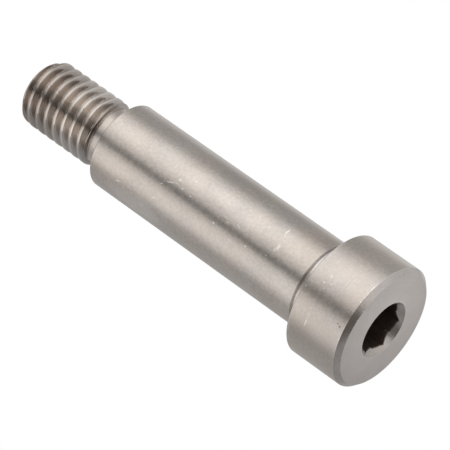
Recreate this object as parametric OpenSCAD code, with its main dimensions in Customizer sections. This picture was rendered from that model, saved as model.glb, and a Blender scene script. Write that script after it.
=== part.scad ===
// Shoulder bolt with a hexagon socket head, turned from one bar of stainless steel.
// The bolt stands on the face of its head. The origin is the centre of that face,
// and +Z runs along the axis through the shoulder to the threaded end.

/* [Head] */
// Diameter of the head
head_d = 14.1; // [12:0.1:18]
// Height of the head
head_h = 6.9; // [6.2:0.1:9]
// Chamfer round the face of the head
head_chamfer = 0.55; // [0.1:0.05:1]
// Edge break under the head
head_edge_break = 0.1; // [0.05:0.05:0.4]

/* [Socket] */
// Width across the flats of the hexagon socket, a little over its key
hex_af = 5.1; // [3:0.1:6]
// Depth of the hexagon below the face
hex_depth = 4.4; // [3:0.1:4.8]
// Diameter of the countersink at the mouth of the socket
countersink_d = 6.55; // [5.9:0.05:8]
// Angle between the walls of the countersink
countersink_angle = 90; // [80:1:120]
// How much narrower than the flats the drilled pilot hole is
pilot_undersize = 0.2; // [0.05:0.05:0.6]
// Depth of the pilot hole's straight wall past the hexagon
pilot_extra = 0.3; // [0.1:0.05:0.5]
// Angle of the drill point
drill_angle = 118; // [90:1:140]

/* [Shoulder] */
// Ground diameter of the shoulder
shoulder_d = 9.97; // [9:0.01:11]
// Length of the shoulder, from the underside of the head
shoulder_l = 30.2; // [15:0.1:80]
// Edge break at the shoulder's end and at the groove
shoulder_edge_break = 0.1; // [0.05:0.05:0.6]

/* [Relief under the head] */
// Width of the groove between the head and the ground surface
relief_w = 1.45; // [1:0.05:2.5]
// Depth of the groove
relief_depth = 0.3; // [0.2:0.05:0.6]
// Radius in the corners of the groove
relief_corner_r = 0.2; // [0.05:0.05:0.2]

/* [Thread] */
// Diameter over the thread's crests
thread_d = 7.8; // [7.2:0.05:8.6]
// Pitch of the right-hand thread
thread_pitch = 1.25; // [1:0.05:1.5]
// Length from the shoulder's end to the tip, with the neck
thread_l = 12; // [7:0.1:30]
// Angle between the flanks
flank_angle = 60; // [55:1:62]
// Diameter of the flat end
tip_d = 6.5; // [5:0.1:6.8]
// Angle of the tip's chamfer to the axis
tip_angle = 45; // [30:1:60]
// Turn of the thread about the axis
thread_turn = 174; // [0:1:359]

/* [Neck] */
// Width of the neck between the shoulder and the thread
neck_w = 2.3; // [1:0.05:3.5]
// Diameter of the neck
neck_d = 6.7; // [5.6:0.05:6.8]
// Radius in the corner between the neck and the shoulder
neck_corner_r = 0.6; // [0.1:0.05:0.8]
// Angle of the wall from the neck up to the crests, to the axis
neck_wall_angle = 84; // [45:1:86]
// Tilt of that wall, because the thread starts up its helix
neck_wall_tilt = 6.5; // [0:0.5:7]
// Direction round the axis in which the wall comes nearest to the shoulder
neck_wall_turn = -100; // [-180:1:180]

/* [Hidden] */

// Round surfaces
$fn = 96;
steel = [0.66, 0.63, 0.60];

// A cut runs this far past a face, and the thread's core lies this far inside the neck
cut_past = 0.1;
thread_seat = 0.25;

head_r = head_d / 2;
shoulder_r = shoulder_d / 2;
shoulder_end = head_h + shoulder_l;
bolt_end = shoulder_end + thread_l;

// Thread form: parts of the pitch and of the height of a sharp thread
sharp_h = thread_pitch / 2 / tan(flank_angle / 2);
crest_w = thread_pitch * 0.21;
root_w = thread_pitch * 0.18;
crest_r = thread_d / 2;
root_r = crest_r - sharp_h * (1 - (crest_w + root_w) / thread_pitch);
// Rounding of the crest and the root at the middle of their flats
crest_crown = 0.02;
root_dip = 0.04;
neck_r = neck_d / 2;
tip_r = tip_d / 2;

// Facets round the thread and the lines along its helix, as parts of a pitch from a crest's middle
thread_sides = 48;
flank_w = (thread_pitch - crest_w - root_w) / 2;
helix_lines = [
    0,
    crest_w / 2,
    crest_w / 2 + flank_w,
    thread_pitch / 2,
    thread_pitch / 2 + root_w / 2,
    thread_pitch - crest_w / 2
];
line_count = len(helix_lines);

// Reach along the axis of the threaded solid and of the neck past the middle of the tilted wall
wall_reach = 0.6;
thread_start = shoulder_end + neck_w - wall_reach;
first_turn = floor(thread_start / thread_pitch) - 2;
last_turn = ceil(bolt_end / thread_pitch) + 1;
row_count = (last_turn - first_turn) * line_count;

// Radius of the thread form at a distance along the pitch, from a crest's middle
function form_r(along) = lookup(along, [
    [0, crest_r + crest_crown],
    [crest_w / 2, crest_r],
    [crest_w / 2 + flank_w, root_r],
    [thread_pitch / 2, root_r - root_dip],
    [thread_pitch / 2 + root_w / 2, root_r],
    [thread_pitch - crest_w / 2, crest_r],
    [thread_pitch, crest_r + crest_crown]
]);

// Angle of a column of points round the axis
function column_angle(column) = 360 * column / thread_sides;

// Height of a crest's middle in turn 0 at an angle round the axis
function crest_z(angle) = thread_pitch * (angle + thread_turn) / 360;

// Height of a helix line, and the same kept between the thread's two ends
function line_z(row, column) =
    crest_z(column_angle(column))
    + (first_turn + floor(row / line_count)) * thread_pitch
    + helix_lines[row % line_count];
function kept_z(z) = min(max(z, thread_start), bolt_end);

// Radius of the threaded surface, cut by the tip's chamfer
function thread_r(z, angle) =
    let (along = (z - crest_z(angle)) / thread_pitch)
    min(
        form_r((along - floor(along)) * thread_pitch),
        tip_r + (bolt_end - z) * tan(tip_angle)
    );

function thread_point(row, column) =
    let (z = kept_z(line_z(row, column)), angle = column_angle(column), r = thread_r(z, angle))
    [r * cos(angle), r * sin(angle), z];

// Rows of a column that lie on the thread's ends
function first_row(column) =
    max([for (row = [0 : row_count - 1]) if (line_z(row, column) <= thread_start) row]);
function last_row(column) =
    min([for (row = [0 : row_count - 1]) if (line_z(row, column) >= bolt_end) row]);

// The threaded stretch with its core, as one closed surface that follows the helix
module thread() {
    points = [
        for (column = [0 : thread_sides - 1]) for (row = [0 : row_count - 1]) thread_point(row, column)
    ];
    low = [for (column = [0 : thread_sides - 1]) first_row(column)];
    high = [for (column = [0 : thread_sides - 1]) last_row(column)];
    // Past the last column the helix has climbed by one turn
    function index(row, column) =
        let (
            wrapped = column % thread_sides,
            climbed = row + (column < thread_sides ? 0 : line_count)
        )
        wrapped * row_count + min(max(climbed, low[wrapped]), high[wrapped]);
    function is_face(face) = face[0] != face[1] && face[1] != face[2] && face[2] != face[0];
    sides = [
        for (column = [0 : thread_sides - 1]) for (row = [-line_count : row_count - 2]) each [
            [index(row, column), index(row + 1, column), index(row + 1, column + 1)],
            [index(row, column), index(row + 1, column + 1), index(row, column + 1)]
        ]
    ];
    start_face = [for (column = [0 : thread_sides - 1]) column * row_count + low[column]];
    end_face = [for (column = [thread_sides - 1 : -1 : 0]) column * row_count + high[column]];
    polyhedron(
        points = points,
        faces = concat([for (face = sides) if (is_face(face)) face], [start_face, end_face]),
        convexity = 10
    );
}

// Half section of the head, with the axis as its straight side
module head_section() {
    polygon([
        [0, 0],
        [head_r - head_chamfer, 0],
        [head_r, head_chamfer],
        [head_r, head_h - head_edge_break],
        [head_r - head_edge_break, head_h],
        [0, head_h]
    ]);
}

// Half section of the shoulder, from inside the head to its end
module shoulder_section() {
    polygon([
        [0, head_h - cut_past],
        [shoulder_r, head_h - cut_past],
        [shoulder_r, shoulder_end - shoulder_edge_break],
        [shoulder_r - shoulder_edge_break, shoulder_end],
        [0, shoulder_end]
    ]);
}

// Half section of the groove under the head, with round corners at its floor
module relief_section() {
    translate([shoulder_r - relief_depth, head_h]) {
        translate([relief_corner_r, 0])
            square([relief_depth - relief_corner_r + cut_past, relief_w]);
        translate([0, relief_corner_r])
            square([relief_depth, relief_w - 2 * relief_corner_r]);
        for (z = [relief_corner_r, relief_w - relief_corner_r])
            translate([relief_corner_r, z]) circle(r = relief_corner_r);
        translate([relief_depth - shoulder_edge_break, relief_w]) polygon([
            [0, -cut_past],
            [0, 0],
            [shoulder_edge_break + cut_past, shoulder_edge_break + cut_past],
            [shoulder_edge_break + cut_past, -cut_past]
        ]);
    }
}

// Half section of the neck, with a round corner at the shoulder
module neck_section() {
    translate([0, shoulder_end - cut_past]) square([neck_r, neck_w + cut_past + wall_reach]);
    translate([0, shoulder_end - cut_past]) difference() {
        square([neck_r + neck_corner_r, neck_corner_r + cut_past]);
        translate([neck_r + neck_corner_r, neck_corner_r + cut_past]) circle(r = neck_corner_r);
    }
}

// Moves a shape onto the middle of the tilted wall at the neck's end
module at_neck_wall() {
    translate([0, 0, shoulder_end + neck_w])
        rotate([0, neck_wall_tilt, neck_wall_turn]) children();
}

// Everything that is turned. The neck ends just inside the thread.
module turned_body() {
    difference() {
        rotate_extrude() {
            head_section();
            difference() {
                shoulder_section();
                relief_section();
            }
            neck_section();
        }
        at_neck_wall() translate([0, 0, cut_past]) cylinder(r = 2 * neck_r, h = 2 * wall_reach);
    }
}

// The thread behind the neck's wall, with a core that reaches back inside the neck
module walled_thread() {
    core_r = neck_r - thread_seat;
    ring_r = crest_r + 1;
    difference() {
        thread();
        at_neck_wall() rotate_extrude() polygon([
            [core_r, -3 * wall_reach],
            [ring_r, -3 * wall_reach],
            [ring_r, (ring_r - neck_r) / tan(neck_wall_angle)],
            [core_r, (core_r - neck_r) / tan(neck_wall_angle)]
        ]);
    }
}

// The hexagon with a corner on +X, its countersink and the drilled hole below it
module socket() {
    pilot_r = (hex_af - pilot_undersize) / 2;
    pilot_end = hex_depth + pilot_extra;
    countersink_r = countersink_d / 2;
    countersink_depth = countersink_r / tan(countersink_angle / 2);
    translate([0, 0, -cut_past])
        cylinder(r = hex_af / 2 / cos(30), h = hex_depth + cut_past, $fn = 6);
    rotate_extrude() polygon([
        [0, -cut_past],
        [pilot_r, -cut_past],
        [pilot_r, pilot_end],
        [0, pilot_end + pilot_r / tan(drill_angle / 2)]
    ]);
    rotate_extrude() polygon([
        [0, -cut_past],
        [countersink_r + cut_past * tan(countersink_angle / 2), -cut_past],
        [0, countersink_depth]
    ]);
}

module shoulder_bolt() {
    color(steel) difference() {
        union() {
            turned_body();
            walled_thread();
        }
        socket();
    }
}

shoulder_bolt();
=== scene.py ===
import math

import bpy
from mathutils import Matrix, Vector


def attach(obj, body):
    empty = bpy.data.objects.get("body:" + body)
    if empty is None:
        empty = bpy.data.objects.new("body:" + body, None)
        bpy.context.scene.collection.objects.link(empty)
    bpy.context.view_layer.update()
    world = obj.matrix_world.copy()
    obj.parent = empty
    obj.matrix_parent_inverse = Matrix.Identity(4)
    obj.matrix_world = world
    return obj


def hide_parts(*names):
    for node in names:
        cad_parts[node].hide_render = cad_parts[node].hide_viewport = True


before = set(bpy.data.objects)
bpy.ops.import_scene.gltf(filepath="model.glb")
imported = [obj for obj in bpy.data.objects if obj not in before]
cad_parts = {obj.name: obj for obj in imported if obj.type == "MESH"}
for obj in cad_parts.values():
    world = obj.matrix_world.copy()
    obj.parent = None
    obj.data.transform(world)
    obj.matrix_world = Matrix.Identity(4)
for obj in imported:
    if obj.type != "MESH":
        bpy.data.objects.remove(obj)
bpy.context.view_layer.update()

MM = 0.001

# Sizes of the bolt, in millimetres
HEAD_D = 14.1
HEAD_H = 6.9
HEAD_CHAMFER = 0.55
HEAD_EDGE_BREAK = 0.1
HEX_AF = 5.1
HEX_DEPTH = 4.4
COUNTERSINK_D = 6.55
PILOT_D = 4.9
PILOT_EXTRA = 0.3
DRILL_HALF_ANGLE = math.radians(59)
SHOULDER_D = 9.97
SHOULDER_L = 30.2
SHOULDER_EDGE_BREAK = 0.1
RELIEF_W = 1.45
RELIEF_DEPTH = 0.3
RELIEF_CORNER = 0.2
THREAD_D = 7.8
THREAD_PITCH = 1.25
THREAD_L = 12.0
THREAD_TURN = 174.0
CREST_W = THREAD_PITCH * 0.21
ROOT_W = THREAD_PITCH * 0.18
TIP_D = 6.5
NECK_W = 2.3
NECK_D = 6.7
NECK_CORNER = 0.6
NECK_WALL_ANGLE = math.radians(84)
NECK_WALL_TILT = math.radians(6.5)
NECK_WALL_TURN = math.radians(-100)

SHOULDER_END = HEAD_H + SHOULDER_L
BOLT_END = SHOULDER_END + THREAD_L
FLANK_W = (THREAD_PITCH - CREST_W - ROOT_W) / 2
FLANK_SLOPE = 1 / math.tan(math.radians(30))
ROOT_D = THREAD_D - 2 * FLANK_W * FLANK_SLOPE
NECK_END = SHOULDER_END + NECK_W

# Rounding in millimetres of the head chamfer's two edges, of the other turned edges, and of the foot of
# the neck's wall
FACE_ROUND = 0.05
RIM_ROUND = 0.1
EDGE_ROUND = 0.04
NECK_WALL_ROUND = 0.06

# The broach cut the first half of each flat this many millimetres deeper. The step rises and falls
# between these angles, in degrees from the flat's middle.
BROACH_STEP = 0.1
BROACH_RISE = (-27, -13)
BROACH_FALL = (2.5, 0.5)

# Rounding of the thread's crest on its tip side and its head side, and of its hollow root, the hollow's
# depth, and how uneven the thread is, all in millimetres
CREST_ROUND_TIP = 0.11
CREST_ROUND_HEAD = 0.04
ROOT_ROUND = 0.04
ROOT_DIP = 0.015
UNEVENNESS = 0.03

# Wear spreads the crest towards the head, by millimetres: all round, and further on one side
WEAR_ALL_ROUND = 0.0315
WEAR = 0.09
WORN_SIDE = math.radians(252)
WEAR_FOCUS = 8.0

# Columns of faces round the axis, and lines of points along each pitch of the thread
COLUMNS = 336
LINES_PER_PITCH = 24

# Finishes, in the order of the bolt's material slots
GROUND, TURNED, FACED, COUNTERSUNK, SOCKET, THREADED = range(6)

# Colors of the plain metal and of the metal where it is worn bright; the bright color also paints highlights
# on edges
STEEL = (0.62, 0.56, 0.51)
BRIGHT = (0.93, 0.89, 0.84)

# Marks that the photograph shows: (angle, height, around, along, slant, strength), in degrees and
# millimetres
SHOULDER_MARKS = (
    (-30, 13.05, 0.75, 0.22, 4, 1.0), (-24, 12.9, 0.3, 0.15, 20, 0.6), (-8, 12.6, 0.8, 0.35, -8, 0.7),
    (-3, 12.75, 0.35, 0.3, 0, 0.6), (-21, 14.9, 0.5, 0.3, 0, 0.4), (-25, 16.5, 0.25, 0.2, 0, 0.4),
    (-25, 17.7, 0.2, 0.2, 0, 0.4), (-1.5, 17.6, 0.12, 0.75, 24, 0.7), (2, 18.9, 0.14, 0.3, 0, 0.6),
    (-2, 19.4, 0.12, 0.8, 0, 0.4), (-16, 24.7, 0.35, 0.14, 0, 0.7), (-6.5, 26.3, 0.25, 0.35, 0, 0.9),
    (0.5, 25.5, 0.22, 0.4, 0, 0.8), (2.2, 24.2, 0.14, 0.3, 0, 0.8), (-1, 26.3, 0.13, 0.7, 10, 0.7),
    (2, 27, 0.14, 1.1, -22, 0.9), (10.5, 27.9, 0.12, 0.4, -30, 0.8), (14, 15.8, 0.25, 0.35, 0, 0.9),
    (13, 20.3, 0.3, 0.25, 0, 0.8), (19, 17.7, 0.12, 0.7, 8, 0.6), (-3, 21, 0.1, 0.6, 0, 0.4),
    (30.5, 28.05, 0.13, 0.5, -35, 0.8), (41, 33, 0.14, 0.9, -22, 1.0), (52, 29.4, 0.25, 0.4, 0, 0.6),
    (67, 30.8, 0.14, 0.6, -25, 0.6), (8, 13.2, 0.1, 0.4, 0, 0.5),
)
HEAD_MARKS = (
    (-11, 4.88, 0.45, 0.16, -25, 0.8), (-4, 5.15, 0.3, 0.22, -25, 0.9), (-6, 4.4, 0.25, 0.2, 0, 0.5),
    (0, 4.8, 0.13, 0.35, 20, 0.7), (19.5, 4.85, 0.25, 0.13, 0, 0.5), (33, 4.8, 0.95, 0.14, 4, 0.9),
    (26, 4.75, 0.5, 0.1, -12, 0.4), (7, 6.6, 0.2, 0.2, 0, 0.5),
    (-23, 0.63, 0.9, 0.12, 0, 0.9), (-15, 0.62, 0.8, 0.1, 0, 0.5), (-8, 0.64, 0.35, 0.14, 0, 0.9),
    (-3, 0.02, 0.14, 0.12, 0, 0.5), (6.5, 0.02, 0.15, 0.12, 0, 0.7), (28, 0.62, 0.25, 0.12, 0, 0.5),
)
HEAD_PITS = ((18.5, 1.1, 0.3, 0.22, 0, 0.5), (17, 1.45, 0.2, 0.18, 0, 0.35))
# Painted highlight: a white glint on the socket's wall at one corner of the hexagon
SOCKET_GLINT = ((-178.6, 0.95, 0.26, 0.3, 0, 1.0),)
SHOULDER_SMEARS = ((58, 30.5, 2.6, 8, 0, 0.35), (-20, 21, 1.5, 4, 0, 0.15))
SHOULDER_STAINS = ((-68, 22, 2.6, 36, 0, 0.4),)
HEAD_STAINS = ((38, 3.6, 4.6, 9, 0, 0.45),)
# Painted highlight: the groove under the head is lighter towards both sides
GROOVE_PAINTED_SHEEN = ((-35, 7.6, 6.2, 1.9, 0, 0.9), (48, 7.6, 5.4, 1.9, 0, 0.9))
# Painted shade: the groove is darker and greyer in front, where shade falls in the crevice
GROOVE_PAINTED_SHADE = ((7, 7.6, 2.8, 1.9, 0, 0.9),)
# A darker strip down the front of the thread, from the neck's wall to the tip
THREAD_DARK_STRIP = ((1.5, 43, 1.4, 16, 0, 0.36),)

# Colors across a pitch: 0 in the middle of a crest, 0.5 in a root, then up the flank that faces the head
# from its foot, and a little under 1 at the crest's edge. The root is lighter as a painted reflection, and
# the bright line at the crest's edge is partly wear and partly a painted highlight
CREST_TONE = (0.47, 0.42, 0.38)
ROOT_REFLECTION_TONE = (0.52, 0.47, 0.43)
FOOT_TONE = (0.475, 0.428, 0.393)
FLANK_TONE = (0.53, 0.478, 0.44)
WORN_HIGHLIGHT_TONE = (0.66, 0.605, 0.555)
PITCH_TONES = (
    (0, CREST_TONE), (0.42, CREST_TONE), (0.46, ROOT_REFLECTION_TONE), (0.52, ROOT_REFLECTION_TONE), (0.58, FOOT_TONE),
    (0.66, FOOT_TONE), (0.74, FLANK_TONE), (0.78, FLANK_TONE), (0.82, WORN_HIGHLIGHT_TONE), (0.93, WORN_HIGHLIGHT_TONE),
    (0.97, CREST_TONE),
)

# Half of the tarnish's factor, from a height near the thread's start to the tip, where it is browner
TARNISH_START = 39.0
TARNISH_TONES = (
    (0, (0.5, 0.5, 0.5)), (0.07, (0.515, 0.515, 0.515)), (0.19, (0.57, 0.565, 0.56)),
    (0.31, (0.59, 0.59, 0.585)), (0.43, (0.555, 0.55, 0.545)), (0.55, (0.485, 0.475, 0.465)),
    (0.68, (0.445, 0.43, 0.42)), (1, (0.445, 0.43, 0.42)),
)

# The photograph's camera. The bolt stands on its head here, so the camera looks up at the head's face
# from below it, and is rolled as in the photograph.
CAMERA_LENS = 245.26
CAMERA_AIM = Vector((-0.58465, -0.05115, 21.6203)) * MM
CAMERA_DISTANCE = 318.11 * MM
CAMERA_AZIMUTH = -85.0
CAMERA_ELEVATION = -27.757
CAMERA_ROLL = 54.703

# Studio cards round this point: name, azimuth, elevation, radiance, distance in metres and tint.
# Azimuth, counted from the camera's own, and elevation are (from, to, softness) in degrees, and a
# fourth number is the softness of the far edge.
CARD_CENTRE = Vector((0, 0, 20)) * MM
CARD_STEPS = 48
WHITE = (1, 1, 1)
COOL = (1, 1.02, 1.06)
WARM = (1.07, 0.99, 0.96)
CARDS = (
    ("grey_tent", (-180, 180, 0), (-3, 90, 0), 0.45, 1.0, WHITE),
    ("back_wall", (114, 190, 38), (-3, 70, 3), 0.72, 0.95, WHITE),
    ("softbox_right", (-18, 95, 50), (-28, 75, 14), 1.22, 0.9, WHITE),
    ("softbox_left", (-96, -10, 38), (-28, 75, 14), 1.0, 0.85, WHITE),
    ("camera_gap", (-50, 44, 16), (-46, -8, 10), 0.04, 0.75, WHITE),
    ("dark_strip", (-27, -3, 9), (-12, 75, 12), 0.2, 0.8, WHITE),
    ("grey_below", (-180, 180, 0), (-90, -3, 0), 0.36, 1.0, COOL),
    ("light_below", (-10, 205, 45, 24), (-88, -3, 4), 0.62, 0.95, COOL),
    ("glow_below", (0, 125, 45), (-85, -25, 22), 0.8, 0.92, COOL),
    ("fill_below", (-180, -70, 30), (-88, -50, 12), 0.6, 0.93, COOL),
    ("dark_below", (-88, 23, 34), (-86, -3, 6), 0.14, 0.9, WARM),
)


def direction(azimuth, elevation):
    """Unit vector towards an azimuth and elevation in degrees."""
    a, e = math.radians(azimuth), math.radians(elevation)
    return Vector((math.cos(a) * math.cos(e), math.sin(a) * math.cos(e), math.sin(e)))


def smooth_step(value, zero, one):
    """Smooth ramp of a value, from 0 at one limit to 1 at the other."""
    share = min(max((value - zero) / (one - zero), 0), 1)
    return share * share * (3 - 2 * share)


def link_object(name, data):
    thing = bpy.data.objects.new(name, data)
    bpy.context.collection.objects.link(thing)
    return thing


class Tree:
    """Short calls for making and joining nodes."""

    def __init__(self, tree):
        self.tree = tree

    def add(self, kind, inputs=(), **settings):
        node = self.tree.nodes.new(kind)
        for key, value in settings.items():
            setattr(node, key, value)
        for key, value in dict(inputs).items():
            self.put(node.inputs[key], value)
        return node

    def put(self, socket, value):
        if isinstance(value, bpy.types.NodeSocket):
            self.tree.links.new(value, socket)
        else:
            socket.default_value = value

    def math(self, operation, *values, clamp=False):
        node = self.add("ShaderNodeMath", operation=operation, use_clamp=clamp)
        for socket, value in zip(node.inputs, values):
            self.put(socket, value)
        return node.outputs[0]

    def distance(self, x, y):
        """Length of the slanting side of a right triangle with these two sides."""
        squares = self.math("ADD", self.math("MULTIPLY", x, x), self.math("MULTIPLY", y, y))
        return self.math("SQRT", squares)

    def split(self, vector):
        return self.add("ShaderNodeSeparateXYZ", {0: vector}).outputs

    def join(self, x, y, z):
        return self.add("ShaderNodeCombineXYZ", {"X": x, "Y": y, "Z": z}).outputs[0]

    def noise(self, vector, scale, detail):
        return self.add("ShaderNodeTexNoise", {"Vector": vector, "Scale": scale, "Detail": detail}).outputs[0]

    def both_ways(self, noise):
        """Noise from 0 to 1 as a value from -1 to 1."""
        return self.math("MULTIPLY_ADD", noise, 2.0, -1.0)

    def product(self, vector, factor):
        return self.add("ShaderNodeVectorMath", {0: vector, 1: factor}, operation="MULTIPLY").outputs[0]

    def ramp(self, value, zero, one):
        """Smooth step of a value, from 0 at one limit to 1 at the other."""
        node = self.add("ShaderNodeMapRange", {
            "Value": value, "From Min": zero, "From Max": one, "To Min": 0.0, "To Max": 1.0,
        }, interpolation_type="SMOOTHSTEP")
        return node.outputs["Result"]


def new_group(name, tree_type, inputs, outputs):
    """Empty node group with named sockets, as {type: names}. Returns it, the calls to fill it, and its
    inputs."""
    group = bpy.data.node_groups.new(name, tree_type)
    for in_out, sockets in (("INPUT", inputs), ("OUTPUT", outputs)):
        for kind, names in sockets.items():
            for socket in names:
                group.interface.new_socket(socket, in_out=in_out, socket_type="NodeSocket" + kind)
    t = Tree(group)
    return group, t, t.add("NodeGroupInput").outputs


# Turned body and socket


def socket_radius(angle):
    """Wall of the hexagon at an angle, with the step that the broach left in each flat."""
    from_flat = angle % math.radians(60) - math.radians(30)
    across = math.degrees(from_flat)
    step = BROACH_STEP * smooth_step(across, *BROACH_RISE) * smooth_step(across, *BROACH_FALL)
    return HEX_AF / 2 / math.cos(from_flat) + step


def fillet(corner, before, after, radius, steps=4):
    """Points of a rounded corner in a section, between two straight stretches."""
    corner, before, after = Vector(corner), Vector(before), Vector(after)
    to_before = (before - corner).normalized()
    to_after = (after - corner).normalized()
    half = to_before.angle(to_after) / 2
    reach = radius / math.tan(half)
    middle = corner + (to_before + to_after).normalized() * (radius / math.sin(half))
    first = corner + to_before * reach - middle
    last = corner + to_after * reach - middle
    turn = first.angle_signed(last)
    return [middle + Matrix.Rotation(-turn * i / steps, 2) @ first for i in range(steps + 1)]


def outside_rows():
    """Half section of the outside as (radius, height) points, and the finish of the stretch after each."""
    head_r, shoulder_r, neck_r = HEAD_D / 2, SHOULDER_D / 2, NECK_D / 2
    relief_r = shoulder_r - RELIEF_DEPTH
    relief_end = HEAD_H + RELIEF_W
    # The fillet at the groove's far wall leaves room there for the rounded edge
    far_corner = RELIEF_DEPTH - SHOULDER_EDGE_BREAK - EDGE_ROUND
    corners = [
        ((COUNTERSINK_D / 2, 0), 0, FACED),
        ((head_r - HEAD_CHAMFER, 0), FACE_ROUND, TURNED),
        ((head_r, HEAD_CHAMFER), RIM_ROUND, TURNED),
        ((head_r, HEAD_H - HEAD_EDGE_BREAK), EDGE_ROUND, TURNED),
        ((head_r - HEAD_EDGE_BREAK, HEAD_H), EDGE_ROUND, TURNED),
        ((relief_r, HEAD_H), RELIEF_CORNER, TURNED),
        ((relief_r, relief_end), far_corner, TURNED),
        ((shoulder_r - SHOULDER_EDGE_BREAK, relief_end), EDGE_ROUND, TURNED),
        ((shoulder_r, relief_end + SHOULDER_EDGE_BREAK), EDGE_ROUND, GROUND),
        ((shoulder_r, SHOULDER_END - SHOULDER_EDGE_BREAK), EDGE_ROUND, TURNED),
        ((shoulder_r - SHOULDER_EDGE_BREAK, SHOULDER_END), EDGE_ROUND, TURNED),
        ((neck_r, SHOULDER_END), NECK_CORNER, TURNED),
        ((neck_r, SHOULDER_END + 2 * NECK_CORNER), 0, TURNED),
    ]
    rows = []
    for i, (corner, radius, finish) in enumerate(corners):
        if radius:
            points = fillet(corner, corners[i - 1][0], corners[i + 1][0], radius)
            rows += [(p, TURNED) for p in points[:-1]] + [(points[-1], finish)]
        else:
            rows.append((Vector(corner), finish))
    return rows


def socket_rows(angles):
    """Rows of (radius, height) points from the drilled floor up the hexagon, and then up the countersink,
    whose wall stands at 45 degrees. The last value is the height of the floor's middle."""
    pilot_r = PILOT_D / 2
    mouth_r = COUNTERSINK_D / 2
    pilot_end = HEX_DEPTH + PILOT_EXTRA
    apex = pilot_end + pilot_r / math.tan(DRILL_HALF_ANGLE)
    walls = [socket_radius(a) for a in angles]
    # Rows this close to an edge keep it sharp
    beside, inside = 0.03, 0.02
    hexagon = [
        [(pilot_r * share, apex + (pilot_end - apex) * share)] * len(angles) for share in (0.3, 0.65, 1)
    ]
    hexagon += [[(pilot_r, z)] * len(angles) for z in (pilot_end - beside, HEX_DEPTH + beside, HEX_DEPTH)]
    hexagon.append([(r - inside, HEX_DEPTH) for r in walls])
    hexagon += [
        [(r, HEX_DEPTH + (mouth_r - r - HEX_DEPTH) * share) for r in walls]
        for share in (0.01, 0.25, 0.5, 0.75, 0.93)
    ]
    hexagon.append([(r, mouth_r - r + beside) for r in walls])
    countersink = [
        [(r + (mouth_r - r) * share, (mouth_r - r) * (1 - share)) for r in walls]
        for share in (0.1, 0.5, 0.96)
    ]
    return hexagon, countersink, apex


def thread_form(angle, z):
    """Radius of the thread at an angle and height."""
    phase = (z / THREAD_PITCH - (math.degrees(angle) + THREAD_TURN) / 360) % 1
    down = min(phase, 1 - phase) * THREAD_PITCH - CREST_W / 2
    return min(THREAD_D / 2, max(ROOT_D / 2, THREAD_D / 2 - max(down, 0) * FLANK_SLOPE))


def neck_rows(angles):
    """Rows round the foot of the neck's wall, and then up the wall to the thread. The wall is tilted,
    because the thread starts up its helix."""
    neck_r = NECK_D / 2
    slope = math.tan(NECK_WALL_ANGLE)
    foot, top = [], []
    for a in angles:
        low = math.tan(NECK_WALL_TILT) * math.cos(a - NECK_WALL_TURN)
        foot.append((neck_r, NECK_END - neck_r * low))
        # The wall meets the thread's surface after a few rounds of coming closer
        r = neck_r
        for again in range(12):
            z = NECK_END + (r - neck_r) / slope - r * low
            r = max(neck_r, thread_form(a, z))
        top.append((r, z))
    # Where the wall is low, its foot is less round
    most = 0.8
    rounding = [min(NECK_WALL_ROUND, most * (r - neck_r)) for r, z in top]
    rounded = []
    for turn in (0, 25, 50, 70, 90):
        c, s = math.cos(math.radians(turn)), math.sin(math.radians(turn))
        rounded.append([(r + q * (1 - c), z - q * (1 - s)) for (r, z), q in zip(foot, rounding)])
    wall = [
        [(r0 + q + (r1 - r0 - q) * share, z0 + (z1 - z0) * share)
         for (r0, z0), (r1, z1), q in zip(foot, top, rounding)]
        for share in (0.5, 0.92, 1)
    ]
    return rounded + wall


def turned_mesh():
    """Everything but the thread, as one surface that is open at the thread's start."""
    angles = [2 * math.pi * i / COLUMNS for i in range(COLUMNS)]
    hexagon, countersink, apex = socket_rows(angles)
    outside = outside_rows()
    neck = neck_rows(angles)
    rows = hexagon + countersink + [[tuple(point)] * COLUMNS for point, finish in outside] + neck
    finishes = [SOCKET] * len(hexagon) + [COUNTERSUNK] * len(countersink)
    finishes += [finish for point, finish in outside]
    finishes += [TURNED] * 2 + [THREADED] * (len(neck) - 2)
    verts = [(0, 0, apex * MM)]
    for row in rows:
        verts += [(r * math.cos(a) * MM, r * math.sin(a) * MM, z * MM) for (r, z), a in zip(row, angles)]
    faces = [(0, 1 + (i + 1) % COLUMNS, 1 + i) for i in range(COLUMNS)]
    slots = [SOCKET] * COLUMNS
    for k in range(len(rows) - 1):
        near, far = 1 + k * COLUMNS, 1 + (k + 1) * COLUMNS
        faces += [
            (near + i, near + (i + 1) % COLUMNS, far + (i + 1) % COLUMNS, far + i)
            for i in range(COLUMNS)
        ]
        slots += [finishes[k]] * COLUMNS
    mesh = bpy.data.meshes.new("turned_bolt")
    mesh.from_pydata(verts, [], faces)
    mesh.polygons.foreach_set("material_index", slots)
    return mesh


# Thread


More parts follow.
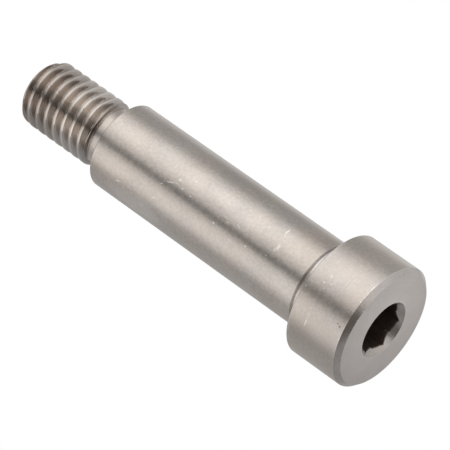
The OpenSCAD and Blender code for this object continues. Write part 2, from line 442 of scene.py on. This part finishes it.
def thread_sizes(start_ring):
    """Values of the thread's tree, by the type of their sockets. Lengths are in metres."""
    first = math.floor(NECK_END / THREAD_PITCH) - 2
    return {
        "Float": {
            "Pitch": THREAD_PITCH * MM,
            "Crest radius": THREAD_D / 2 * MM,
            "Root radius": ROOT_D / 2 * MM,
            "Crest width": CREST_W * MM,
            "Root width": ROOT_W * MM,
            "Flank slope": FLANK_SLOPE,
            "Root dip": ROOT_DIP * MM,
            "Root rounding": ROOT_ROUND * MM,
            "Rounding on tip side": CREST_ROUND_TIP * MM,
            "Rounding on head side": CREST_ROUND_HEAD * MM,
            "End": BOLT_END * MM,
            "Tip radius": TIP_D / 2 * MM,
            "Tip slope": 1.0,
            "First crest": (first + THREAD_TURN / 360) * THREAD_PITCH * MM,
            "Unevenness": UNEVENNESS * MM,
            "Wear": WEAR * MM,
            "Wear all round": WEAR_ALL_ROUND * MM,
            "Wear focus": WEAR_FOCUS,
            "Worn side": WORN_SIDE,
        },
        "Int": {
            "Columns": COLUMNS,
            "Start ring": start_ring,
            "Lines per pitch": LINES_PER_PITCH,
            "Pitches": math.ceil(BOLT_END / THREAD_PITCH) + 1 - first,
        },
    }


def thread_radius(t, given, turn, z, climb):
    """Radius of the worn thread at a turn round the axis and a height. Climb is the height of a crest."""
    phase = t.math("FRACT", t.math("DIVIDE", t.math("SUBTRACT", z, climb), given["Pitch"]))
    # Distances along the axis from the nearest crest and from the nearest root
    off = t.math("MULTIPLY", t.math("MINIMUM", phase, t.math("SUBTRACT", 1.0, phase)), given["Pitch"])
    from_root = t.math("SUBTRACT", t.math("MULTIPLY", given["Pitch"], 0.5), off)
    # Wear spreads the crest on its head side
    towards = t.math("COSINE", t.math("SUBTRACT", turn, given["Worn side"]))
    focus = t.math("POWER", t.math("MAXIMUM", towards, 0.0), given["Wear focus"])
    worn = t.math("MULTIPLY_ADD", focus, given["Wear"], given["Wear all round"])
    worn = t.math("MULTIPLY", worn, t.math("GREATER_THAN", phase, 0.5))
    down = t.math("SUBTRACT", t.math("SUBTRACT", off, t.math("MULTIPLY", given["Crest width"], 0.5)), worn)
    flank = t.math("SUBTRACT", given["Crest radius"], t.math("MULTIPLY", down, given["Flank slope"]))
    root_share = t.math("DIVIDE", from_root, t.math("MULTIPLY", given["Root width"], 0.5), clamp=True)
    hollow = t.math("SUBTRACT", 1.0, t.math("MULTIPLY", root_share, root_share))
    root = t.math("SUBTRACT", given["Root radius"], t.math("MULTIPLY", given["Root dip"], hollow))
    # The crest is round on its tip side and sharp on its head side
    head_side, tip_side = given["Rounding on head side"], given["Rounding on tip side"]
    rounding = t.math("MULTIPLY_ADD", t.math("LESS_THAN", phase, 0.5),
                      t.math("SUBTRACT", tip_side, head_side), head_side)
    form = t.math("SMOOTH_MIN", given["Crest radius"], flank, rounding)
    form = t.math("SMOOTH_MAX", root, form, given["Root rounding"])
    # The uneven spots are longer round the bolt than along it
    along = t.math("MULTIPLY", z, 900.0)
    spots = t.noise(t.join(t.math("COSINE", turn), t.math("SINE", turn), along), scale=7.0, detail=2.0)
    uneven = t.math("SUBTRACT", spots, 0.5)
    form = t.math("ADD", form, t.math("MULTIPLY", uneven, given["Unevenness"]))
    chamfer = t.math("MULTIPLY_ADD", t.math("SUBTRACT", given["End"], z), given["Tip slope"],
                     given["Tip radius"])
    return t.math("MINIMUM", form, chamfer)


def thread_tree(sizes):
    """Adds the thread to a turned blank: a grid wound round the axis along the helix."""
    group, t, given = new_group("wind_thread", "GeometryNodeTree", {
        "Geometry": ["Blank"], "Material": ["Thread finish", "End finish"], **sizes,
    }, {"Geometry": ["Bolt"]})
    grid = t.add("GeometryNodeMeshGrid", {
        "Size X": 1.0,
        "Size Y": 1.0,
        "Vertices X": t.math("ADD", given["Columns"], 1.0),
        "Vertices Y": t.math("MULTIPLY_ADD", given["Pitches"], given["Lines per pitch"], 1.0),
    })
    position = t.add("GeometryNodeInputPosition").outputs[0]
    place = t.split(position)
    round_share = t.math("ADD", place["X"], 0.5)
    along_share = t.math("ADD", place["Y"], 0.5)
    turn = t.math("MULTIPLY", round_share, 2 * math.pi)
    climb = t.math("MULTIPLY_ADD", round_share, given["Pitch"], given["First crest"])
    # The lines lie closest together on the crest
    crowding, lag = 0.6, math.radians(10)
    count = t.math("MULTIPLY", along_share, given["Pitches"])
    wave = t.math("SINE", t.math("MULTIPLY_ADD", count, 2 * math.pi, lag))
    shift = t.math("MULTIPLY", wave, crowding / (2 * math.pi))
    line = t.math("MULTIPLY", t.math("SUBTRACT", count, shift), given["Pitch"])
    raw = t.math("ADD", line, climb)
    # The thread starts at the blank's last ring of points
    column = t.math("ROUND", t.math("MULTIPLY", round_share, given["Columns"]))
    ring = t.add("GeometryNodeSampleIndex", {
        "Geometry": given["Blank"],
        "Value": position,
        "Index": t.math("ADD", given["Start ring"], t.math("MODULO", column, given["Columns"])),
    }, data_type="FLOAT_VECTOR", domain="POINT")
    start = t.split(ring.outputs[0])
    start_radius = t.distance(start["X"], start["Y"])
    z = t.math("MINIMUM", t.math("MAXIMUM", raw, start["Z"]), given["End"])
    radius = thread_radius(t, given, turn, z, climb)
    weld = 0.002 * MM
    before = t.math("LESS_THAN", raw, t.math("ADD", start["Z"], weld))
    radius = t.math("ADD", radius, t.math("MULTIPLY", before, t.math("SUBTRACT", start_radius, radius)))
    # The last line runs in to the axis and closes the end
    short_of_last = t.math("LESS_THAN", along_share, 0.9999)
    radius = t.math("MULTIPLY", radius, short_of_last)
    wound = t.join(t.math("MULTIPLY", radius, t.math("COSINE", turn)),
                   t.math("MULTIPLY", radius, t.math("SINE", turn)), z)
    thread = t.add("GeometryNodeSetPosition", {"Geometry": grid.outputs["Mesh"], "Position": wound})
    thread = t.add("GeometryNodeSetMaterial", {
        "Geometry": thread.outputs[0], "Material": given["Thread finish"],
    })
    whole = t.add("GeometryNodeJoinGeometry")
    for part in (thread.outputs[0], given["Blank"]):
        group.links.new(part, whole.inputs[0])
    welded = t.add("GeometryNodeMergeByDistance", {"Geometry": whole.outputs[0], "Distance": weld})
    real = t.add("GeometryNodeRealizeInstances", {"Geometry": welded.outputs[0]})
    end_face = t.math("GREATER_THAN", place["Z"], t.math("SUBTRACT", given["End"], weld / 2))
    finished = t.add("GeometryNodeSetMaterial", {
        "Geometry": real.outputs[0], "Selection": end_face, "Material": given["End finish"],
    })
    t.add("NodeGroupOutput", {"Bolt": finished.outputs[0]})
    return group


def wind_thread(blank, thread_finish, end_finish):
    """Runs the thread's tree on the turned blank and returns the finished mesh's object."""
    sizes = thread_sizes(start_ring=len(blank.data.vertices) - COLUMNS)
    group = thread_tree(sizes)
    modifier = blank.modifiers.new("thread", "NODES")
    modifier.node_group = group
    values = {**sizes["Float"], **sizes["Int"], "Thread finish": thread_finish, "End finish": end_finish}
    for item in group.interface.items_tree:
        if item.item_type == "SOCKET" and item.in_out == "INPUT" and item.name in values:
            modifier[item.identifier] = values[item.name]
    evaluated = blank.evaluated_get(bpy.context.evaluated_depsgraph_get())
    mesh = bpy.data.meshes.new_from_object(evaluated)
    blank.modifiers.remove(modifier)
    bpy.data.objects.remove(blank)
    mesh.polygons.foreach_set("use_smooth", [True] * len(mesh.polygons))
    mesh.set_sharp_from_angle(angle=math.radians(28))
    return link_object("shoulder_bolt_finished", mesh)


# Groups that the materials share


def make_place_group():
    """Distance from the axis and height in millimetres, and the angle round the axis in degrees, counted
    from the side that the photograph shows."""
    group, t, given = new_group("place_on_bolt", "ShaderNodeTree", {"Vector": ["Position"]},
                                {"Float": ["Radius", "Angle", "Height"]})
    x, y, z = t.split(given["Position"])
    a = math.radians(CAMERA_AZIMUTH)
    ahead = t.math("ADD", t.math("MULTIPLY", x, math.cos(a)), t.math("MULTIPLY", y, math.sin(a)))
    aside = t.math("SUBTRACT", t.math("MULTIPLY", x, math.sin(a)), t.math("MULTIPLY", y, math.cos(a)))
    t.add("NodeGroupOutput", {
        "Radius": t.math("MULTIPLY", t.distance(x, y), 1 / MM),
        "Angle": t.math("MULTIPLY", t.math("ARCTAN2", aside, ahead), 180 / math.pi),
        "Height": t.math("MULTIPLY", z, 1 / MM),
    })
    return group


def make_satin_group():
    """Cloudy tarnish, fine grain and turning marks, laid over a plain color and roughness."""
    group, t, given = new_group("satin_steel", "ShaderNodeTree", {
        "Vector": ["Position"],
        "Color": ["Color"],
        "Float": ["Across", "Roughness", "Clouds", "Cloud size", "Grain", "Grain size", "Lines",
                  "Line spacing", "Relief"],
    }, {"Color": ["Color"], "Float": ["Roughness", "Height"]})

    def noise(size, detail, offset):
        place = t.add("ShaderNodeVectorMath", {0: given["Position"], 1: (offset, offset, offset)},
                      operation="ADD").outputs[0]
        return t.both_ways(t.noise(place, t.math("DIVIDE", 1 / MM, size), detail))

    clouds = noise(given["Cloud size"], detail=4.0, offset=0.0)
    hue = noise(given["Cloud size"], detail=2.0, offset=0.31)
    grain = noise(given["Grain size"], detail=3.0, offset=0.17)
    # The turning marks wander a little with the clouds
    across = t.math("DIVIDE", given["Across"], given["Line spacing"])
    line = t.add("ShaderNodeTexNoise", {
        "W": t.math("ADD", across, t.math("MULTIPLY", clouds, 0.6)), "Scale": 1.0, "Detail": 3.0,
    }, noise_dimensions="1D")
    line = t.both_ways(line.outputs[0])
    shade = t.math("MULTIPLY_ADD", clouds, given["Clouds"], 1.0)
    shade = t.math("MULTIPLY_ADD", grain, given["Grain"], shade)
    shade = t.math("MULTIPLY_ADD", line, given["Lines"], shade)
    # The tone also drifts a little between warm and cool
    tint = t.math("MULTIPLY", hue, t.math("MULTIPLY", given["Clouds"], 0.35))
    tones = t.join(t.math("ADD", shade, tint), shade, t.math("SUBTRACT", shade, tint))
    dull = t.math("MULTIPLY_ADD", t.math("SUBTRACT", grain, clouds), 0.16, 1.0)
    height = t.math("ADD", t.math("MULTIPLY", line, given["Line spacing"]),
                    t.math("MULTIPLY", grain, given["Grain size"]))
    t.add("NodeGroupOutput", {
        "Color": t.product(given["Color"], tones),
        "Roughness": t.math("MULTIPLY", given["Roughness"], dull),
        "Height": t.math("MULTIPLY", given["Relief"], height),
    })
    return group


def make_mark_group():
    """One mark, such as a scratch, pit, smudge, painted highlight or painted shade: an oval with ragged
    edges. Sizes in millimetres, angles in degrees.
    """
    group, t, given = new_group("mark", "ShaderNodeTree", {
        "Float": ["Radius", "Angle", "Height", "Ragged", "At angle", "At height", "Around", "Along", "Slant"],
    }, {"Float": ["Mask"]})
    u = t.math("MULTIPLY", t.math("SUBTRACT", given["Angle"], given["At angle"]),
               t.math("MULTIPLY", given["Radius"], math.pi / 180))
    v = t.math("SUBTRACT", given["Height"], given["At height"])
    slant = t.math("MULTIPLY", given["Slant"], math.pi / 180)
    c, s = t.math("COSINE", slant), t.math("SINE", slant)
    ahead = t.math("ADD", t.math("MULTIPLY", u, c), t.math("MULTIPLY", v, s))
    aside = t.math("SUBTRACT", t.math("MULTIPLY", v, c), t.math("MULTIPLY", u, s))
    away = t.distance(t.math("DIVIDE", ahead, t.math("MULTIPLY", given["Around"], 0.5)),
                      t.math("DIVIDE", aside, t.math("MULTIPLY", given["Along"], 0.5)))
    t.add("NodeGroupOutput", {"Mask": t.ramp(t.math("ADD", away, given["Ragged"]), 1.25, 0.55)})
    return group


def make_rim_group():
    """Worn rim with a painted highlight: the stretch on both sides of a turned edge, broken up along it."""
    group, t, given = new_group("rim_wear_and_highlight", "ShaderNodeTree", {
        "Float": ["Radius", "Height", "Ragged", "Edge radius", "Edge height", "Width"],
    }, {"Float": ["Mask"]})
    away = t.distance(t.math("SUBTRACT", given["Radius"], given["Edge radius"]),
                      t.math("SUBTRACT", given["Height"], given["Edge height"]))
    share = t.math("ADD", t.math("DIVIDE", away, given["Width"]), given["Ragged"])
    t.add("NodeGroupOutput", {"Mask": t.ramp(share, 1.0, 0.4)})
    return group


# Materials


class Steel:
    """One finish of the bolt, with the shared groups placed in its material. Its own values are named as
    in satin_steel, with sizes in millimetres."""

    def __init__(self, name, groups, across="Height", color=STEEL, roughness=0.24, **finish):
        self.groups = groups
        self.material = bpy.data.materials.new(name)
        self.material.use_nodes = True
        self.t = Tree(self.material.node_tree)
        self.shader = self.material.node_tree.nodes["Principled BSDF"]
        self.shader.inputs["Metallic"].default_value = 1
        position = self.t.add("ShaderNodeTexCoord").outputs["Object"]
        self.place = self.use("place_on_bolt", {"Position": position})
        values = {key.replace("_", " ").capitalize(): value for key, value in finish.items()}
        satin = self.use("satin_steel", {
            **values, "Position": position, "Across": self.place[across], "Color": (*color, 1),
            "Roughness": roughness,
        })
        self.color, self.roughness, self.height = satin["Color"], satin["Roughness"], satin["Height"]
        ragged = self.t.noise(position, scale=6000.0, detail=2.0)
        self.ragged = self.t.math("SUBTRACT", ragged, 0.5)

    def use(self, name, values):
        """Places a shared group with its own values."""
        return self.t.add("ShaderNodeGroup", values, node_tree=self.groups[name]).outputs

    def greatest(self, masks):
        total = masks[0]
        for mask in masks[1:]:
            total = self.t.math("MAXIMUM", total, mask)
        return total

    def blend(self, mask, color, roughness):
        """Lays another color and roughness over the finish where the mask is 1. Sockets 6 and 7 of a mix
        node are its two colors, and output 2 is their mix."""
        mix = self.t.add("ShaderNodeMix", {0: mask, 6: self.color, 7: (*color, 1)}, data_type="RGBA")
        self.color = mix.outputs[2]
        change = self.t.math("SUBTRACT", roughness, self.roughness)
        self.roughness = self.t.math("MULTIPLY_ADD", mask, change, self.roughness)

    def marks(self, table, color, roughness, depth=0.0):
        """Marks of one kind. A depth in millimetres sinks them."""
        ragged = self.t.math("MULTIPLY", self.ragged, 1.2)
        masks = []
        for angle, height, around, along, slant, strength in table:
            mark = self.use("mark", {
                "Radius": self.place["Radius"], "Angle": self.place["Angle"],
                "Height": self.place["Height"], "Ragged": ragged, "At angle": angle, "At height": height,
                "Around": around, "Along": along, "Slant": slant,
            })
            masks.append(self.t.math("MULTIPLY", mark["Mask"], strength))
        total = self.greatest(masks)
        self.blend(total, color, roughness)
        self.height = self.t.math("MULTIPLY_ADD", total, -depth, self.height)

    def rims(self, table, amount, roughness):
        """Turned edges that are worn bright and carry a painted highlight: (radius, height, width) of each.
        """
        ragged = self.t.math("MULTIPLY", self.ragged, 1.6)
        masks = [
            self.use("rim_wear_and_highlight", {
                "Radius": self.place["Radius"], "Height": self.place["Height"], "Ragged": ragged,
                "Edge radius": radius, "Edge height": height, "Width": width,
            })["Mask"]
            for radius, height, width in table
        ]
        self.blend(self.t.math("MULTIPLY", self.greatest(masks), amount), BRIGHT, roughness)

    def tones(self, value, stops):
        """Color ramp over a value, from (position, color) stops."""
        node = self.t.add("ShaderNodeValToRGB", {"Fac": value})
        elements = node.color_ramp.elements
        for k, (position, color) in enumerate(stops):
            stop = elements[k] if k < 2 else elements.new(position)
            stop.position = position
            stop.color = (*color, 1)
        return node.outputs[0]

    def tint(self, color, scale):
        """Multiplies the finish by a color and by a fixed scale."""
        self.color = self.t.product(self.t.product(self.color, color), scale)

    def shade(self, factor):
        """Darkens or lightens the finish by a factor that changes over the surface."""
        self.color = self.t.add("ShaderNodeVectorMath", {0: self.color, "Scale": factor},
                                operation="SCALE").outputs[0]

    def finished(self):
        bump = self.t.add("ShaderNodeBump", {"Height": self.height, "Distance": MM, "Strength": 1.0})
        self.t.put(self.shader.inputs["Base Color"], self.color)
        self.t.put(self.shader.inputs["Roughness"], self.roughness)
        self.t.put(self.shader.inputs["Normal"], bump.outputs[0])
        return self.material


def ground_steel(groups):
    steel = Steel("ground_steel", groups, clouds=0.17, cloud_size=5.0, grain=0.19, grain_size=0.35,
                  lines=0.03, line_spacing=0.12, relief=0.012)
    steel.marks(SHOULDER_SMEARS, color=BRIGHT, roughness=0.27)
    steel.marks(SHOULDER_STAINS, color=(0.5, 0.45, 0.41), roughness=0.24)
    steel.marks(SHOULDER_MARKS, color=BRIGHT, roughness=0.4, depth=0.004)
    return steel.finished()


def turned_steel(groups):
    steel = Steel("turned_steel", groups, clouds=0.16, cloud_size=4.5, grain=0.15, grain_size=0.35,
                  lines=0.05, line_spacing=0.2, relief=0.01)
    steel.marks(HEAD_STAINS, color=(0.48, 0.42, 0.37), roughness=0.24)
    # Painted highlight on both sides of the groove
    steel.marks(GROOVE_PAINTED_SHEEN, color=(0.76, 0.735, 0.715), roughness=0.35)
    # Painted shade in the front of the groove
    steel.marks(GROOVE_PAINTED_SHADE, color=(0.44, 0.42, 0.405), roughness=0.4)
    steel.marks(HEAD_MARKS, color=BRIGHT, roughness=0.4, depth=0.004)
    steel.marks(HEAD_PITS, color=(0.2, 0.16, 0.13), roughness=0.5, depth=0.02)
    # Edges partly worn bright and partly lit by a painted highlight
    edges = ((HEAD_D / 2, HEAD_CHAMFER, 0.09), (HEAD_D / 2, HEAD_H, 0.12),
             (SHOULDER_D / 2, SHOULDER_END, 0.12))
    steel.rims(edges, amount=0.25, roughness=0.2)
    return steel.finished()


def faced_steel(groups):
    steel = Steel("faced_steel", groups, across="Radius", roughness=0.35, clouds=0.07, cloud_size=2.0,
                  grain=0.06, grain_size=0.3, lines=0.06, line_spacing=0.14, relief=0.01)
    # The countersink's rim, partly worn bright and partly a painted highlight
    steel.rims(((COUNTERSINK_D / 2, 0, 0.12),), amount=0.15, roughness=0.25)
    # Painted light: the face is lighter on the side where nearby light falls, and lighter from the middle of
    # the ring inwards
    t = steel.t
    painted_lit_side, ring_middle = 60.0, 4.9
    off_side = t.math("MULTIPLY", t.math("ADD", steel.place["Angle"], painted_lit_side), math.pi / 180)
    inward = t.math("SUBTRACT", ring_middle, steel.place["Radius"])
    painted_side_light = t.math("MULTIPLY_ADD", t.math("COSINE", off_side), 0.115, 0.985)
    steel.shade(t.math("ADD", painted_side_light, t.math("MULTIPLY", inward, 0.035)))
    return steel.finished()


def countersunk_steel(groups):
    steel = Steel("countersunk_steel", groups, across="Radius", color=(0.53, 0.47, 0.42), roughness=0.28,
                  clouds=0.26, cloud_size=0.9, grain=0.2, grain_size=0.25, lines=0.06, line_spacing=0.1,
                  relief=0.012)
    return steel.finished()


def socket_steel(groups):
    steel = Steel("socket_steel", groups, color=(0.19, 0.144, 0.12), roughness=0.5, clouds=0.4,
                  cloud_size=1.0, grain=0.2, grain_size=0.25, lines=0.15, line_spacing=0.1, relief=0.02)
    # Painted highlight: the glint is painted white on the dark wall
    steel.marks(SOCKET_GLINT, color=WHITE, roughness=0.3)
    return steel.finished()


def thread_steel(groups):
    """Tarnished thread, darker than the turned body, with a bright line along the crest's edge towards the
    head, partly worn and partly a painted highlight, and roots painted lighter as a painted reflection."""
    steel = Steel("thread_steel", groups, roughness=0.2, clouds=0.14, cloud_size=1.0, grain=0.08,
                  grain_size=0.2, lines=0.0, line_spacing=0.1, relief=0.006)
    t = steel.t
    turn = t.math("DIVIDE", t.math("SUBTRACT", CAMERA_AZIMUTH, steel.place["Angle"]), 360.0)
    crest = t.math("ADD", turn, THREAD_TURN / 360)
    pitches = t.math("DIVIDE", steel.place["Height"], THREAD_PITCH)
    phase = t.math("FRACT", t.math("SUBTRACT", pitches, crest))
    # Tones across each pitch, with a painted reflection in the root and a painted highlight at the crest's
    # edge
    steel.tint(steel.tones(phase, PITCH_TONES), tuple(1 / c for c in STEEL))
    along = t.math("SUBTRACT", steel.place["Height"], TARNISH_START)
    along = t.math("DIVIDE", along, BOLT_END - TARNISH_START)
    steel.tint(steel.tones(along, TARNISH_TONES), (2, 2, 2))
    # Darker strip down the thread's front
    steel.marks(THREAD_DARK_STRIP, color=(0.2, 0.17, 0.155), roughness=0.25)
    return steel.finished()


def make_bolt():
    groups = {group.name: group for group in
              (make_place_group(), make_satin_group(), make_mark_group(), make_rim_group())}
    finishes = {
        GROUND: ground_steel(groups),
        TURNED: turned_steel(groups),
        FACED: faced_steel(groups),
        COUNTERSUNK: countersunk_steel(groups),
        SOCKET: socket_steel(groups),
        THREADED: thread_steel(groups),
    }
    mesh = turned_mesh()
    for slot in sorted(finishes):
        mesh.materials.append(finishes[slot])
    return wind_thread(link_object("blank", mesh), finishes[THREADED], finishes[FACED])


# Studio


def make_camera():
    data = bpy.data.cameras.new("camera")
    data.lens = CAMERA_LENS
    data.clip_start = 0.01
    data.clip_end = 20
    camera = link_object("camera", data)
    back = direction(CAMERA_AZIMUTH, CAMERA_ELEVATION)
    right = Vector((0, 0, 1)).cross(back).normalized()
    up = back.cross(right)
    turn = Matrix((right, up, back)).transposed() @ Matrix.Rotation(math.radians(-CAMERA_ROLL), 3, "Z")
    camera.matrix_world = Matrix.Translation(CAMERA_AIM + back * CAMERA_DISTANCE) @ turn.to_4x4()
    bpy.context.scene.camera = camera


def make_floor():
    """Pale floor round the foot of the head's chamfer, with the bolt's shadow. It isn't seen from below,
    where the photograph's camera is, or in the metal, because the real bolt hung over nothing."""
    steps = 96
    past_chamfer = 0.03
    rings = ((HEAD_D / 2 - HEAD_CHAMFER + past_chamfer) * MM, 0.05, 0.3, 3.0)
    verts, faces = [], []
    for r in rings:
        verts += [(r * math.cos(2 * math.pi * i / steps), r * math.sin(2 * math.pi * i / steps), 0)
                  for i in range(steps)]
    for k in range(len(rings) - 1):
        inner, outer = k * steps, (k + 1) * steps
        faces += [(inner + i, outer + i, outer + (i + 1) % steps, inner + (i + 1) % steps)
                  for i in range(steps)]
    mesh = bpy.data.meshes.new("floor")
    mesh.from_pydata(verts, [], faces)
    material = bpy.data.materials.new("pale_floor")
    material.use_nodes = True
    t = Tree(material.node_tree)
    nodes = material.node_tree.nodes
    shader = nodes["Principled BSDF"]
    shader.inputs["Base Color"].default_value = (0.8, 0.8, 0.8, 1)
    shader.inputs["Roughness"].default_value = 0.7
    below = t.math("MULTIPLY", t.add("ShaderNodeLightPath").outputs["Is Camera Ray"],
                   t.add("ShaderNodeNewGeometry").outputs["Backfacing"])
    clear = t.add("ShaderNodeBsdfTransparent")
    mix = t.add("ShaderNodeMixShader", {0: below, 1: shader.outputs[0], 2: clear.outputs[0]})
    t.put(nodes["Material Output"].inputs["Surface"], mix.outputs[0])
    mesh.materials.append(material)
    floor = link_object("floor", mesh)
    floor.visible_glossy = False


def make_world():
    world = bpy.data.worlds.new("studio")
    world.use_nodes = True
    bpy.context.scene.world = world
    background = world.node_tree.nodes["Background"]
    background.inputs["Color"].default_value = (1, 1, 1, 1)
    background.inputs["Strength"].default_value = 1


def card_cloth(name, radiance, tint):
    """Glowing cloth of a studio card, which is clear where the card's cover is 0."""
    material = bpy.data.materials.new(name)
    material.use_nodes = True
    tree = material.node_tree
    tree.nodes.remove(tree.nodes["Principled BSDF"])
    t = Tree(tree)
    cover = t.add("ShaderNodeAttribute", attribute_name="cover").outputs["Fac"]
    glow = t.add("ShaderNodeEmission", {"Color": (*tint, 1), "Strength": radiance})
    clear = t.add("ShaderNodeBsdfTransparent")
    mix = t.add("ShaderNodeMixShader", {0: cover, 1: clear.outputs[0], 2: glow.outputs[0]})
    t.put(tree.nodes["Material Output"].inputs["Surface"], mix.outputs[0])
    return material


def card_cover(value, start, end, softness, far_softness=None):
    """Share of a card's cloth at an angle, which fades out towards both of its edges."""
    if not softness:
        return 1
    fade_in = smooth_step(value, start, start + softness)
    return fade_in * smooth_step(value, end, end - (far_softness or softness))


def make_card(name, azimuth, elevation, radiance, distance, tint):
    """Curved card round the bolt, which is seen only in the metal's reflections."""
    verts, faces, cover = [], [], []
    for j in range(CARD_STEPS + 1):
        e = elevation[0] + (elevation[1] - elevation[0]) * j / CARD_STEPS
        for i in range(CARD_STEPS + 1):
            a = azimuth[0] + (azimuth[1] - azimuth[0]) * i / CARD_STEPS
            verts.append(CARD_CENTRE + distance * direction(a + CAMERA_AZIMUTH, e))
            cover.append(card_cover(a, *azimuth) * card_cover(e, *elevation))
    for j in range(CARD_STEPS):
        for i in range(CARD_STEPS):
            k = j * (CARD_STEPS + 1) + i
            faces.append((k, k + 1, k + CARD_STEPS + 2, k + CARD_STEPS + 1))
    mesh = bpy.data.meshes.new(name)
    mesh.from_pydata(verts, [], faces)
    mesh.attributes.new("cover", "FLOAT", "POINT").data.foreach_set("value", cover)
    mesh.materials.append(card_cloth(name, radiance, tint))
    card = link_object(name, mesh)
    card.visible_camera = False
    card.visible_diffuse = False
    card.visible_shadow = False


scene = bpy.context.scene
scene.view_settings.view_transform = "Standard"

make_camera()
make_world()
make_floor()
for card_values in CARDS:
    make_card(*card_values)

bolt = make_bolt()
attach(bolt, "root")
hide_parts("shoulder_bolt")
